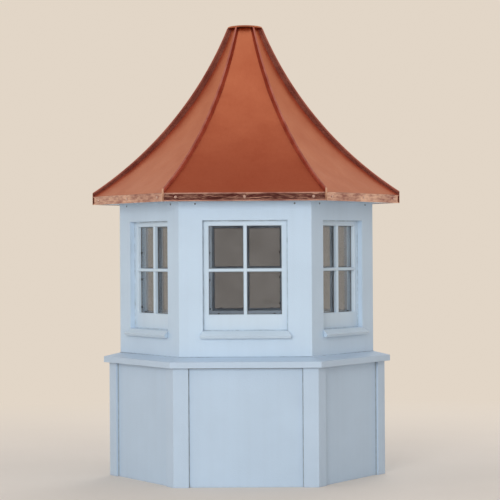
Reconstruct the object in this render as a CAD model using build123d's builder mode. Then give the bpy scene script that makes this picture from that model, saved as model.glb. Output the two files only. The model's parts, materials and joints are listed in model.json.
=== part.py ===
from build123d import *
from math import cos, radians, sin, sqrt, tan
import os

# Hexagonal cupola in millimetres, Z up: a panelled base, a tower with six windows
# and a flared standing-seam roof. The origin is the middle of the base's underside,
# two corners lie on the X axis and face number 1, the front, looks along -Y.

os.makedirs("parts", exist_ok=True)

# Plan sizes: the side of a hexagon is also its corner radius
side_count = 6
base_side = 457.2
tower_setback = 37.2
eave_overhang = 88.0
crown_side = 43.0

# Heights
base_height = 376.0
rail_height = 19.0
rail_slope_rise = 13.0
tower_height = 505.0
fascia_height = 27.4
roof_height = 556.0

# Base
panel_thickness = 12.7
corner_board_width = 48.0
corner_board_thickness = 9.5
rail_overhang = 16.0
rail_ledge = 14.0

# Tower walls and windows
wall_thickness = 19.0
pier_width = 75.5
opening_sill_height = 95.0
opening_head_height = 60.0
sash_depth = 30.0
sash_lap = 12.0
stile_reveal = 19.5
head_reveal = 17.5
bottom_rail_reveal = 52.0
upright_bar_width = 11.5
cross_bar_width = 10.5
glass_setback = 14.0
glass_thickness = 4.0
glass_bed = 8.0
glass_clearance = 1.0
light_bevel = 2.5
sill_projection = 20.0
sill_slope = 37.0
sill_thickness = 10.0
sill_end_lap = 0.5
sill_flare = 10.0

# Roof
roof_sag = 56.0
copper_thickness = 1.2
fascia_thickness = 1.5
hem_width = 10.0
deck_thickness = 9.5
deck_seat = 8.0
deck_gap = 1.0
rafter_depth = 60.0
rafter_thickness = 25.0
plate_ledge = 20.0
block_flat = 30.0
block_tail = 15.0
seam_thickness = 6.5
seam_foot_height = 12.0
seam_middle_height = 19.0
seam_crown_height = 9.0
seam_round = 2.2
seam_tail_thickness = 2.5
seam_fold_height = 8.0
seam_web_thickness = 4.6
seam_cover = 2.2
upstand_gap = 0.2
cap_overlap = 18.0
cap_edge = 3.0
cap_height = 9.0

# Hexagon geometry
turn = 360 / side_count
half_turn = radians(turn / 2)
face_angles = [-90 + turn * number for number in range(side_count)]
corner_angles = [turn * number for number in range(side_count)]


def flat_of(corner_radius):
    """Distance from the axis to the flats of a hexagon with this corner radius."""
    return corner_radius * cos(half_turn)


def corner_of(flat):
    """Corner radius of a hexagon whose flats are this far from the axis."""
    return flat / cos(half_turn)


def outward(angle):
    """Unit vector that points away from the axis at this angle in plan."""
    return Vector(cos(radians(angle)), sin(radians(angle)), 0)


def plan_plane(angle, height):
    """Level plane whose x points outwards at this angle."""
    return Plane(origin=(0, 0, height), x_dir=outward(angle), z_dir=(0, 0, 1))


def face_plane(angle, distance, height):
    """Upright plane on a face: x runs along the face, y is up and z points outwards."""
    origin = outward(angle) * distance + Vector(0, 0, height)
    return Plane(origin=origin, x_dir=outward(angle + 90), z_dir=outward(angle))


def section_plane(angle):
    """Upright plane through the axis: x points outwards and y is up."""
    return Plane(origin=(0, 0, 0), x_dir=outward(angle), z_dir=outward(angle - 90))


def mitred_outline(flat, thickness):
    """Plan of a board on one face whose ends are mitred to its neighbours."""
    inner = flat - thickness
    outer_half = flat * tan(half_turn)
    inner_half = inner * tan(half_turn)
    return [(flat, -outer_half), (flat, outer_half), (inner, inner_half), (inner, -inner_half)]


def wedge_outline(gap, reach):
    """Plan of one sixth of the roof, held back by half the gap from each hip."""
    half_width = reach * tan(half_turn) - gap / 2 / cos(half_turn)
    return [(gap / 2 / sin(half_turn), 0), (reach, half_width), (reach, -half_width)]


# Derived levels and distances
tower_side = base_side - tower_setback
eave_side = tower_side + eave_overhang
base_flat = flat_of(base_side)
tower_flat = flat_of(tower_side)
eave_flat = flat_of(eave_side)
crown_flat = flat_of(crown_side)
panel_flat = base_flat - corner_board_thickness
wall_back = tower_flat - wall_thickness
sash_back = wall_back - sash_depth
tower_foot = base_height + rail_height
tower_top = tower_foot + tower_height
opening_width = tower_side - 2 * pier_width
opening_height = tower_height - opening_sill_height - opening_head_height
opening_foot = tower_foot + opening_sill_height
opening_middle = opening_foot + opening_height / 2
light_width = opening_width - 2 * stile_reveal
light_height = opening_height - head_reveal - bottom_rail_reveal
light_middle = opening_foot + bottom_rail_reveal + light_height / 2
fascia_foot = tower_top - fascia_thickness
eave_height = fascia_foot + fascia_height
crown_height = eave_height + roof_height
under_copper_depth = copper_thickness
under_deck_depth = copper_thickness + deck_thickness
under_rafter_depth = under_deck_depth + rafter_depth

# Roof curve: one arc in the upright plane through the middle of a face.
# It is hollow outwards, so deeper layers have a larger radius round the same centre.
eave_point = Vector(eave_flat, eave_height)
crown_point = Vector(crown_flat, crown_height)
chord = eave_point - crown_point
chord_inward = Vector(chord.Y, -chord.X) / chord.length
arc_radius = (roof_sag**2 + (chord.length / 2) ** 2) / (2 * roof_sag)
arc_centre = (eave_point + crown_point) / 2 - chord_inward * (arc_radius - roof_sag)


def roof_level(flat, depth):
    """Height of the roof layer at this depth, this far from the axis."""
    return arc_centre.Y - sqrt((arc_radius + depth) ** 2 - (arc_centre.X - flat) ** 2)


def roof_flat(height, depth):
    """Distance from the axis of the roof layer at this depth, at this height."""
    return arc_centre.X - sqrt((arc_radius + depth) ** 2 - (arc_centre.Y - height) ** 2)


def roof_points(depth, foot_flat):
    """Foot, middle and head of one roof layer in the middle of a face."""
    foot = (foot_flat, roof_level(foot_flat, depth))
    middle_height = (foot[1] + crown_height) / 2
    return [
        foot,
        (roof_flat(middle_height, depth), middle_height),
        (roof_flat(crown_height, depth), crown_height),
    ]


def hip_points(depth, foot_flat):
    """The same three points where the layer meets a hip."""
    return [(corner_of(flat), height) for flat, height in roof_points(depth, foot_flat)]


deck_edge = eave_flat - fascia_thickness
plate_top = roof_level(deck_edge - deck_seat, under_deck_depth)

# Base panels: sheets behind the corner boards, mitred where they meet
for number, angle in enumerate(face_angles, start=1):
    with BuildPart() as base_panel:
        with BuildSketch(plan_plane(angle, 0)):
            Polygon(*mitred_outline(panel_flat, panel_thickness), align=None)
        extrude(amount=base_height)
    base_panel.part.label = f"base_panel_{number}"
    export_step(base_panel.part, f"parts/base_panel_{number}.step")

# Corner boards: one angled board wraps each corner of the base
along = Vector(-sin(half_turn), cos(half_turn))
across = Vector(cos(half_turn), sin(half_turn))
outer_corner = Vector(base_side, 0)
inner_corner = Vector(base_side - corner_board_thickness / cos(half_turn), 0)
outer_end = outer_corner + along * corner_board_width
inner_end = outer_end - across * corner_board_thickness
for number, angle in enumerate(corner_angles, start=1):
    with BuildPart() as base_corner:
        with BuildSketch(plan_plane(angle, 0)):
            with BuildLine():
                Polyline(outer_corner, outer_end, inner_end, inner_corner)
                mirror(about=Plane.XZ)
            make_face()
        extrude(amount=base_height)
    base_corner.part.label = f"base_corner_{number}"
    export_step(base_corner.part, f"parts/base_corner_{number}.step")

# Rail: a ring that caps the base, weathered on top, with a seat for the tower walls
rail_side = base_side + corner_of(rail_overhang)
with BuildPart() as base_rail:
    with BuildSketch(Plane.XY.offset(base_height)):
        RegularPolygon(rail_side, side_count)
    extrude(amount=rail_height)
    with BuildSketch(Plane.XY.offset(tower_foot)):
        RegularPolygon(rail_side, side_count)
    with BuildSketch(Plane.XY.offset(tower_foot + rail_slope_rise)):
        RegularPolygon(tower_side, side_count)
    loft()
    with BuildSketch(Plane.XY.offset(tower_foot)):
        RegularPolygon(tower_side, side_count)
    extrude(amount=rail_slope_rise, mode=Mode.SUBTRACT)
    with BuildSketch(Plane.XY.offset(base_height)):
        RegularPolygon(corner_of(wall_back - rail_ledge), side_count)
    extrude(amount=rail_height, mode=Mode.SUBTRACT)
base_rail.part.label = "base_rail"
export_step(base_rail.part, "parts/base_rail.step")

# Tower walls: mitred boards with the window opening cut through
for number, angle in enumerate(face_angles, start=1):
    with BuildPart() as wall:
        with BuildSketch(plan_plane(angle, tower_foot)):
            Polygon(*mitred_outline(tower_flat, wall_thickness), align=None)
        extrude(amount=tower_height)
        with BuildSketch(face_plane(angle, tower_flat, opening_middle)):
            Rectangle(opening_width, opening_height)
        extrude(amount=-wall_thickness, mode=Mode.SUBTRACT)
    wall.part.label = f"wall_{number}"
    export_step(wall.part, f"parts/wall_{number}.step")

# Window sashes: behind the walls, each with two bars that part four lights
for number, angle in enumerate(face_angles, start=1):
    with BuildPart() as window_sash:
        with BuildSketch(face_plane(angle, wall_back, opening_middle)):
            Rectangle(opening_width + 2 * sash_lap, opening_height + 2 * sash_lap)
        extrude(amount=-sash_depth)
        with BuildSketch(face_plane(angle, wall_back, light_middle)):
            Rectangle(light_width, light_height)
            Rectangle(upright_bar_width, light_height, mode=Mode.SUBTRACT)
            Rectangle(light_width, cross_bar_width, mode=Mode.SUBTRACT)
        extrude(amount=-glass_setback, mode=Mode.SUBTRACT)
        sash_front = window_sash.faces().sort_by(Axis((0, 0, 0), outward(angle)))[-1]
        chamfer([edge for wire in sash_front.inner_wires() for edge in wire.edges()], length=light_bevel)
        with BuildSketch(face_plane(angle, sash_back, light_middle)):
            Rectangle(light_width + 2 * glass_bed, light_height + 2 * glass_bed)
        extrude(amount=sash_depth - glass_setback, mode=Mode.SUBTRACT)
    window_sash.part.label = f"window_sash_{number}"
    export_step(window_sash.part, f"parts/window_sash_{number}.step")

# Glass: one pane in the bed of each sash
pane_margin = 2 * (glass_bed - glass_clearance)
with BuildPart() as window_glass:
    glass_front = wall_back - glass_setback
    with BuildSketch(*[face_plane(angle, glass_front, light_middle) for angle in face_angles]):
        Rectangle(light_width + pane_margin, light_height + pane_margin)
    extrude(amount=-glass_thickness)
window_glass.part.label = "window_glass"
export_step(window_glass.part, "parts/window_glass.step")

# Window sills: sloped boards under the openings, their ends splayed towards the nose
slope = radians(sill_slope)
sill_drop = sill_projection * tan(slope)
sill_half_length = opening_width / 2 + sill_end_lap
nose_half_length = sill_half_length + sill_flare
nose_top = Vector(tower_flat + sill_projection, opening_foot - sill_drop)
nose_foot = nose_top - Vector(sin(slope), cos(slope)) * sill_thickness
for number, angle in enumerate(face_angles, start=1):
    with BuildPart() as window_sill:
        with BuildSketch(section_plane(angle)):
            with BuildLine():
                Polyline((tower_flat, opening_foot), nose_top, nose_foot, (tower_flat, nose_foot.Y), close=True)
            make_face()
        extrude(amount=nose_half_length, both=True)
        with BuildSketch(plan_plane(angle, 0)):
            Polygon(
                (tower_flat, -sill_half_length),
                (tower_flat + sill_projection, -nose_half_length),
                (tower_flat + sill_projection, nose_half_length),
                (tower_flat, sill_half_length),
                align=None,
            )
        extrude(amount=tower_top, mode=Mode.INTERSECT)
    window_sill.part.label = f"window_sill_{number}"
    export_step(window_sill.part, f"parts/window_sill_{number}.step")


def roof_body(depth, foot_flat):
    """Solid hexagonal body under the roof layer at this depth, down to the fascia's foot."""
    with BuildPart() as body:
        for number in range(side_count // 2):
            with BuildSketch(section_plane(face_angles[number])):
                with BuildLine():
                    curve = ThreePointArc(*roof_points(depth, foot_flat))
                    Polyline(curve @ 0, (foot_flat, fascia_foot), (0, fascia_foot))
                    Line(curve @ 1, (0, crown_height))
                    mirror(about=Plane.YZ)
                make_face()
            extrude(amount=2 * eave_side, both=True, mode=Mode.INTERSECT if number else Mode.ADD)
    return body.part


# Bodies that other pieces are trimmed to: the seams' covers to the first, the fascia,
# the deck and the panels' edges to the second, the rafters and the block to the third
over_copper = roof_body(0, eave_flat)
under_copper = roof_body(under_copper_depth, eave_flat)
under_deck = roof_body(under_deck_depth, deck_edge - deck_seat)

# Eave plate: the ring on the walls that closes the overhang and carries the rafters
with BuildPart() as eave_plate:
    with BuildSketch(Plane.XY.offset(tower_top)):
        RegularPolygon(corner_of(deck_edge), side_count)
        RegularPolygon(corner_of(wall_back - plate_ledge), side_count, mode=Mode.SUBTRACT)
    extrude(amount=plate_top - tower_top)
eave_plate.part.label = "eave_plate"
export_step(eave_plate.part, "parts/eave_plate.step")

# Fascia: the copper drip edge, hemmed under the plate and lapped by the roof panels
with BuildPart() as eave_fascia:
    with BuildSketch(Plane.XY.offset(fascia_foot)):
        RegularPolygon(eave_side, side_count)
        RegularPolygon(corner_of(deck_edge), side_count, mode=Mode.SUBTRACT)
    extrude(amount=fascia_height)
    with BuildSketch(Plane.XY.offset(fascia_foot)):
        RegularPolygon(eave_side, side_count)
        RegularPolygon(corner_of(eave_flat - hem_width), side_count, mode=Mode.SUBTRACT)
    extrude(amount=fascia_thickness)
    add(under_copper, mode=Mode.INTERSECT)
eave_fascia.part.label = "eave_fascia"
export_step(eave_fascia.part, "parts/eave_fascia.step")

# Block: the post at the peak that the rafters lean on, its flats turned to them
rafter_heel = roof_level(flat_of(block_flat), under_rafter_depth)
block_foot = rafter_heel - block_tail
with BuildPart() as peak_block:
    with BuildSketch(Plane.XY.offset(block_foot)):
        RegularPolygon(block_flat, side_count, major_radius=False, rotation=turn / 2)
    extrude(amount=crown_height - block_foot)
    add(under_deck, mode=Mode.INTERSECT)
peak_block.part.label = "peak_block"
export_step(peak_block.part, "parts/peak_block.step")

# Hip rafters: from the plate to the block, hollowed like the roof and backed to its hips
with BuildPart() as hip_rafters:
    with BuildSketch(*[section_plane(angle) for angle in corner_angles]):
        with BuildLine():
            heel = (block_flat, rafter_heel)
            foot_flat = roof_flat(plate_top, under_rafter_depth)
            belly_height = (plate_top + rafter_heel) / 2
            belly = (corner_of(roof_flat(belly_height, under_rafter_depth)), belly_height)
            underside = ThreePointArc((corner_of(foot_flat), plate_top), belly, heel)
            tip = (corner_of(deck_edge - deck_seat), plate_top)
            Polyline(underside @ 0, tip, (block_flat, crown_height), underside @ 1)
        make_face()
    extrude(amount=rafter_thickness / 2, both=True)
    add(under_deck, mode=Mode.INTERSECT)
hip_rafters.part.label = "hip_rafters"
export_step(hip_rafters.part, "parts/hip_rafters.step")

# Deck: six bent sheets that seat on the plate and leave a small gap over each rafter
with BuildPart() as roof_deck:
    with BuildSketch(Plane.XY.offset(plate_top)):
        RegularPolygon(corner_of(deck_edge), side_count)
    extrude(amount=crown_height - plate_top)
    add(under_copper, mode=Mode.INTERSECT)
    add(under_deck, mode=Mode.SUBTRACT)
    with BuildSketch(Plane.XY.offset(plate_top)):
        for angle in corner_angles:
            Rectangle(2 * eave_side, deck_gap, rotation=angle)
    extrude(amount=crown_height - plate_top, mode=Mode.SUBTRACT)
roof_deck.part.label = "roof_deck"
export_step(roof_deck.part, "parts/roof_deck.step")

# Crest of the standing seams: an arc above each hip, lower at the eave and at the crown
hip_foot, hip_middle, hip_head = [Vector(*point) for point in hip_points(0, eave_flat)]
hip_chord = hip_foot - hip_head
hip_outward = Vector(-hip_chord.Y, hip_chord.X) / hip_chord.length
tail_face = eave_side + seam_tail_thickness
seam_root = under_copper_depth + seam_tail_thickness
root_foot = (eave_side - seam_root, fascia_foot)


def crest_points(depth, foot_radius):
    """Foot, middle and head of the seam's crest, or of a line this far under it."""
    return [
        Vector(foot_radius, eave_height + seam_foot_height - depth),
        hip_middle + hip_outward * (seam_middle_height - depth),
        Vector(hip_head.X + seam_crown_height - depth, crown_height),
    ]


# Outline of a panel's turned-up edge, which is also the slot inside the seam's cover
with BuildSketch() as upstand_outline:
    with BuildLine():
        top = ThreePointArc(*crest_points(seam_cover, eave_side - seam_tail_thickness))
        root = ThreePointArc(*hip_points(seam_root, eave_flat - seam_root))
        Line(top @ 0, root @ 0)
        Line(top @ 1, root @ 1)
    make_face()

# Roof panels: curved copper sheets, mitred at the hips, with their edges turned up
for number, angle in enumerate(face_angles, start=1):
    with BuildPart() as roof_panel:
        with BuildSketch(section_plane(angle)):
            with BuildLine():
                top = ThreePointArc(*roof_points(0, eave_flat))
                bottom = ThreePointArc(*roof_points(under_copper_depth, eave_flat))
                Line(top @ 0, bottom @ 0)
                Line(top @ 1, bottom @ 1)
            make_face()
        extrude(amount=eave_side, both=True)
        with BuildSketch(plan_plane(angle, 0)):
            Polygon(*wedge_outline(upstand_gap, eave_side), align=None)
        extrude(amount=crown_height, mode=Mode.INTERSECT)
        for side in (1, -1):
            with BuildSketch(section_plane(angle + side * turn / 2).offset(side * upstand_gap / 2)):
                add(upstand_outline.sketch)
            extrude(amount=side * copper_thickness)
        add(under_copper, mode=Mode.SUBTRACT)
    roof_panel.part.label = f"roof_panel_{number}"
    export_step(roof_panel.part, f"parts/roof_panel_{number}.step")

# Hip seams: folded covers over the turned-up edges, wider at the rounded crest,
# each with a tail turned down over the fascia at the corner
with BuildPart() as hip_seams:
    with BuildSketch(*[section_plane(angle) for angle in corner_angles]):
        with BuildLine():
            crest = ThreePointArc(*crest_points(0, tail_face))
            fold = ThreePointArc(*crest_points(seam_fold_height, eave_side - seam_root))
            Line(crest @ 1, fold @ 1)
            Polyline(fold @ 0, root_foot, (tail_face, fascia_foot), crest @ 0)
        make_face()
    extrude(amount=seam_thickness / 2, both=True)
    curved_edges = hip_seams.edges().filter_by(GeomType.CIRCLE)
    crest_edges = curved_edges.sort_by(SortBy.DISTANCE)[-2 * side_count :]
    fillet(crest_edges, radius=seam_round)
    with BuildSketch(*[section_plane(angle) for angle in corner_angles]):
        with BuildLine():
            web_top = ThreePointArc(*crest_points(seam_round, eave_side - seam_root))
            web_root = ThreePointArc(*hip_points(seam_root, eave_flat - seam_root))
            Line(web_top @ 0, web_root @ 0)
            Line(web_top @ 1, web_root @ 1)
        make_face()
    extrude(amount=seam_web_thickness / 2, both=True)
    add(over_copper, mode=Mode.SUBTRACT)
    with BuildSketch(*[section_plane(angle) for angle in corner_angles]):
        add(upstand_outline.sketch)
    extrude(amount=upstand_gap / 2 + copper_thickness, both=True, mode=Mode.SUBTRACT)
hip_seams.part.label = "hip_seams"
export_step(hip_seams.part, "parts/hip_seams.step")

# Cap: a low lid in three sloped bands that closes the roof's cut-off peak
cap_radius = crown_side + cap_overlap
with BuildPart() as roof_cap:
    with BuildSketch(Plane.XZ):
        with BuildLine():
            band_rise = (cap_height - cap_edge) / 2
            Polyline(
                (0, crown_height),
                (cap_radius, crown_height),
                (cap_radius, crown_height + cap_edge),
                (cap_radius - cap_edge, crown_height + cap_edge + band_rise),
                (cap_radius / 2, crown_height + cap_height - cap_edge / 2),
                (0, crown_height + cap_height),
                close=True,
            )
        make_face()
    revolve(axis=Axis.Z)
roof_cap.part.label = "roof_cap"
export_step(roof_cap.part, "parts/roof_cap.step")
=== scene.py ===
import json
import math
from contextlib import contextmanager

import bmesh
import bpy
from bpy.props import FloatProperty, FloatVectorProperty, IntProperty, PointerProperty
from mathutils import Matrix, Vector


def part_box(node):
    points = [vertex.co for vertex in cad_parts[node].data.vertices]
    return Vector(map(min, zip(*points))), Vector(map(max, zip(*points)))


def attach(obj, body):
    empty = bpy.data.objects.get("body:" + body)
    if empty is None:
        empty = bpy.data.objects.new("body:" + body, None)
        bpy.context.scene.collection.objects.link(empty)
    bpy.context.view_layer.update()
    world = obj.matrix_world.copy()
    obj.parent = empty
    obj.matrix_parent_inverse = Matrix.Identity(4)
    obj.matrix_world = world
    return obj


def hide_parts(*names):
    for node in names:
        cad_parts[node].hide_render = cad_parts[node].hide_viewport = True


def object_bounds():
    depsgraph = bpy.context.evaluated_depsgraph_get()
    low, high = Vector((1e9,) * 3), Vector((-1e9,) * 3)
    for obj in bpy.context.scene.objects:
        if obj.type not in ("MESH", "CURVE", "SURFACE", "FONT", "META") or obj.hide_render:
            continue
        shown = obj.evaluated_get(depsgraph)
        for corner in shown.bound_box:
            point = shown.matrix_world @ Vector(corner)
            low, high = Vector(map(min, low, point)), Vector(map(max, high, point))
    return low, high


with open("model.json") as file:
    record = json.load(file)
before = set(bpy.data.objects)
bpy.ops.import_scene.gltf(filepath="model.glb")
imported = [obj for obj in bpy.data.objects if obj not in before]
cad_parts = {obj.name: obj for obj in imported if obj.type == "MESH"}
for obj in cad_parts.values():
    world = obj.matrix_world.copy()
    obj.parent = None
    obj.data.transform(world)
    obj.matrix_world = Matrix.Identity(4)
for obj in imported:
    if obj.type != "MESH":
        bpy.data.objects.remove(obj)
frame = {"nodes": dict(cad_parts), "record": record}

bl_info = {
    "name": "Cupola Finishes",
    "version": (1, 0, 0),
    "blender": (4, 5, 0),
    "location": "3D View > Sidebar > Cupola",
    "description": "Paint, glass, copper, timber and small fixings for a hexagonal roof cupola",
    "category": "Object",
}

# Places that come from the frame, in metres. Face 1 is the front, which looks along -Y.
SIDE_COUNT = 6
TURN = math.tau / SIDE_COUNT
TOUCH = 0.0002
LEVEL_DECIMALS = 5
CAD_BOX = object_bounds()
TOWER_FLAT = -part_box("wall_1")[0].y
WALL_BACK = -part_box("wall_1")[1].y
TOWER_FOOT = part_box("wall_1")[0].z
TOWER_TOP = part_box("wall_1")[1].z
PANEL_FLAT = -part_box("base_panel_1")[0].y
BASE_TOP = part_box("base_panel_1")[1].z
BOARD_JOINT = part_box("base_corner_6")[0].x
RAIL_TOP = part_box("base_rail")[1].z
GLASS_FRONT = -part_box("window_glass")[0].y
FASCIA_FLAT = -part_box("eave_fascia")[0].y
FASCIA_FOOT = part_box("eave_fascia")[0].z
FASCIA_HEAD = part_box("eave_fascia")[1].z
ROOF_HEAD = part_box("roof_panel_1")[1].z
SEAM_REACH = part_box("hip_seams")[1].x
OBJECT_HEIGHT = CAD_BOX[1].z


def levels(node, axis, test):
    """Different places along an axis at which a CAD node has corners that pass a test."""
    corners = (vertex.co for vertex in frame["nodes"][node].data.vertices)
    return sorted({round(corner[axis], LEVEL_DECIMALS) for corner in corners if test(corner)})


def on_glass(corner):
    """True for a corner of the front sash that lies where its glass begins."""
    return abs(corner.y + GLASS_FRONT) < TOUCH


def within_wall(corner):
    """True for a corner of the front wall that belongs to its window opening."""
    return TOWER_FOOT + TOUCH < corner.z < TOWER_TOP - TOUCH


BAR_HALF, LIGHT_HALF = levels("window_sash_1", 0, lambda corner: on_glass(corner) and corner.x > 0)[:2]
LIGHT_FOOT, BAR_FOOT, BAR_HEAD, LIGHT_HEAD = levels("window_sash_1", 2, on_glass)[1:-1]
OPENING_HALF = levels("wall_1", 0, within_wall)[-1]
OPENING_FOOT, OPENING_HEAD = levels("wall_1", 2, within_wall)

# Noise and ranges inside the effects. A pair gives the two ends of a range.
EDGE_SAMPLES = 6
SKY_SAMPLES = 8
PATCH_DETAIL = 3.0
FINE_DETAIL = 2.0
SOFT_NOISE = (0.3, 0.7)
STREAK_NOISE = (0.42, 0.75)
EDGE_AGREEMENT = (0.99, 0.85)
OPEN_SKY = (0.85, 0.35)
DUST_SCALE = 60.0
DUST_NOISE = (0.35, 0.6)
DUST_SHARE = (0.45, 1.0)
RING_NOISE = (0.35, 0.65)
RING_STRETCH = 0.04
FIBRE_SCALE = 900.0

# Fine detail of the paint, in metres and shares. A swing is how far roughness falls and rises.
RAIN_WIDTH = 0.02
RAIN_LENGTH = 0.5
# Reach of the painted shade and dust in the paint's joints
PAINT_SHADE_AND_DUST_REACH = 0.01
PAINT_WEAR = 0.18
WORN_PAINT_COLOUR = (0.9, 0.93, 0.95, 1)
PAINT_SWING = (0.05, 0.06)

# Fine detail of the glass
GLASS_IOR = 1.45
FILM_PATCH = 0.07
FILM_NOISE = (0.3, 1.0)
FILM_HEIGHT = 0.00005

# Fine detail of the copper
COPPER_EDGE_RADIUS = 0.0008
# The joint share and the joint reaches set the painted shade in the copper's joints and hollows
COPPER_JOINT_SHADE_SHARE = 0.8
SHEET_SPECKLE = 0.0028
SHEET_STREAK_SHARE = 0.3
SHEET_TONE_SHARE = 0.6
SHEET_SPECKLE_SHARE = 0.25
SHEET_JOINT_REACH = 0.007
SHEET_WEAR = 0.5
SHEET_PATCH_MATTING = 0.06
SHEET_SPECKLE_MATTING = 0.05
SHEET_POLISH = 0.04
SHEET_GRAIN_HEIGHT = 0.00008
SEAM_PATCH = 0.05
SEAM_SPECKLE = 0.004
SEAM_JOINT_REACH = 0.006
SEAM_WEAR = 0.25
SEAM_SWING = (0.05, 0.08)
SEAM_GRAIN_HEIGHT = 0.0001
FASCIA_EDGE_RADIUS = 0.0012
FASCIA_MARK_SHARE = 0.35
FASCIA_PATCH_SHARE = 0.65
FASCIA_MARKS = (0.25, 0.8)
FASCIA_WEAR = 0.4
FASCIA_SWING = (0.04, 0.12)
FASCIA_PATCH = 0.13
DENT_SIZE = 0.02
DENT_HEIGHT = 0.0005
MARK_HEIGHT = 0.0003

# Depths behind the seams' reach at which the bright bend starts and is full, and how bright it is. The
# bright bend is bent copper with a painted highlight along the seams' tails.
BENT_HIGHLIGHT_START = 0.0027
BENT_HIGHLIGHT_END = 0.0017
BENT_HIGHLIGHT_SHARE = 0.8

# Fine detail of the timber
# Painted shade and dust in the timber's joints
TIMBER_SHADE_AND_DUST_REACH = 0.02
TIMBER_SHADE_AND_DUST_SHARE = 0.4
TIMBER_SHADE_AND_DUST_DEPTH = 0.5
RING_SHARE = 0.55
FIBRE_SHARE = 0.3
FIBRE_HEIGHT = 0.0003
TIMBER_SWING = (0.08, 0.1)

# Fine detail of the screws' steel
BRIGHT_METALLIC = 0.55
COATED_METALLIC = 0.0
SCREW_PATCH = 0.003
SCREW_SPECKLE = 0.0006
SCREW_EDGE_RADIUS = 0.0004
SCREW_SHADE = 0.35
SCREW_WEAR = 0.5
WORN_STEEL_COLOUR = (0.8, 0.76, 0.7, 1)
STEEL_ROUGHNESS = (0.22, 0.42)
SCRATCH_HEIGHT = 0.00004

# Fine detail of sealant, rubber and enamel
FILLER_PATCH = 0.02
FILLER_SPECKLE = 0.002
FILLER_SHADE = 0.3
FILLER_SWING = (0.08, 0.08)
FILLER_HEIGHT = 0.0004
SEALANT_ROUGHNESS = 0.55
RUBBER_ROUGHNESS = 0.6
ENAMEL_ROUGHNESS = 0.4

# A face looks along an axis where its normal has more of that axis than this
FACING = 0.9

# Smoothing, in degrees
SMOOTH_DEGREES = 35
BEAD_SMOOTH_DEGREES = 60

# Steps of curves
FINE_SEGMENTS = 2
ROUND_SEGMENTS = 3
HEAD_VERTICES = 24
CAP_VERTICES = 72
CAP_STEPS = 6
ROLL_RESOLUTION = 3

# Profiles of roundings, and roundings and recesses as shares of what they are cut in
EVEN_PROFILE = 0.5
BEAD_PROFILE = 0.3
BEAD_HOLLOW = 0.85
RING_ROUND = 0.7
HEAD_ROUND = 0.7
RECESS_INSET = 0.12
RECESS_DEPTH = 0.45
RECESS_TAPER = 0.7

# How many times as wide as the eave is far a roof sheet starts
SHEET_SPARE = 3

# How far a seam runs past its arc at each end, in radians
SEAM_OVERRUN = 0.02

# Places of a window's clips from the edges of its lights, in metres
TOP_CLIP_DROP = 0.085
BAR_CLIP_DROP = 0.026
LOW_CLIP_RISE = 0.018
LEFT_CLIP_REACH = 0.030
RIGHT_CLIP_REACH = 0.023

# Lamps and camera, in metres and radians
LAMP_DISTANCE = 6.0
KEY_AZIMUTH = math.radians(-12)
KEY_ELEVATION = math.radians(9)
KEY_SIZE = 1.8
BACK_AZIMUTH = math.radians(165)
BACK_ELEVATION = math.radians(30)
BACK_SIZE = 3.0
INNER_LAMP_RISE = 0.1
INNER_LAMP_SIZE = 0.1
CAMERA_REACH = 100

# Parts of the room that reflections show. A pair says where along X, Y or Z one starts and is full.
UPPER_ROOM = (0.2, 0.5)
CEILING_BACK = 0.2
CEILING_EDGE = (0.65, 0.05)
HIGH_WALL_EDGE = (0.5, 0.2)
DIM_ROOM_EDGE = (-0.72, -0.95)
DIM_ROOM_HEAD = (0.3, 0.05)

# Floor, in metres and shares. The fade and the dim part start and are full at a pair's distances.
FLOOR_VERTICES = 96
FLOOR_RADIUS = 40
FLOOR_ROUGHNESS = 0.9
FLOOR_PATCH = 0.5
FLOOR_PATCH_SHARE = 0.3
FLOOR_SHADE = 0.1
FLOOR_FADE = (1.0, 3.5)
FLOOR_DIM = (-1.5, -3.0)


# Settings that a user would change

def length(name, description, default):
    """A size property in metres."""
    return FloatProperty(
        name=name, description=description, default=default, min=0, unit="LENGTH", precision=4
    )


def share(name, description, default):
    """A property from 0 to 1."""
    return FloatProperty(name=name, description=description, default=default, min=0, max=1, subtype="FACTOR")


def angle(name, description, degrees):
    """An angle property."""
    return FloatProperty(name=name, description=description, default=math.radians(degrees), subtype="ANGLE")


def colour(name, description, red, green, blue):
    """A colour property, in linear light."""
    default = (red, green, blue, 1)
    return FloatVectorProperty(name=name, description=description, default=default, size=4, subtype="COLOR")


class CupolaPaintSettings(bpy.types.PropertyGroup):
    """Paint on the boards and the sashes."""

    wall_colour: colour("Wall Colour", "Paint of the tower walls", 0.565, 0.705, 0.85)
    # The base and trim paints are a little darker than the wall paint, a painted shade on the base, its
    # corner boards and its rail
    base_colour: colour("Base Colour", "Paint of the base panels", 0.515, 0.645, 0.79)
    trim_colour: colour("Trim Colour", "Paint of the corner boards and rail", 0.515, 0.637, 0.775)
    sash_colour: colour("Sash Colour", "Paint of the window sashes and sills", 0.61, 0.735, 0.85)
    shade_depth: share("Shade Depth", "How much darker the paint's uneven patches are", 0.055)
    # Colour of the painted shade and dust in the joints, and of the rain marks
    shade_and_dust_colour: colour("Grime Colour", "Dust held in joints and rain marks", 0.22, 0.25, 0.27)
    # Shares of painted shade and dust in the joints of the base and of the tower
    joint_shade_and_dust: share("Joint Grime", "How much dust lies in the joints of the base", 0.28)
    opening_shade_and_dust: share("Opening Grime", "How much dust lies in the joints of the tower", 0.12)
    rain_marks: share("Rain Marks", "How plain the marks of rain are", 0.03)
    patch_size: length("Patch Size", "Width of the uneven patches", 0.16)
    stipple_size: length("Stipple Size", "Width of the roller's stipple", 0.0035)
    stipple_height: length("Stipple Height", "Height of the roller's stipple", 0.0002)
    edge_radius: length("Edge Radius", "Rounding of the boards' edges", 0.0012)
    roughness: share("Roughness", "Roughness of the satin paint", 0.46)


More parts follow.
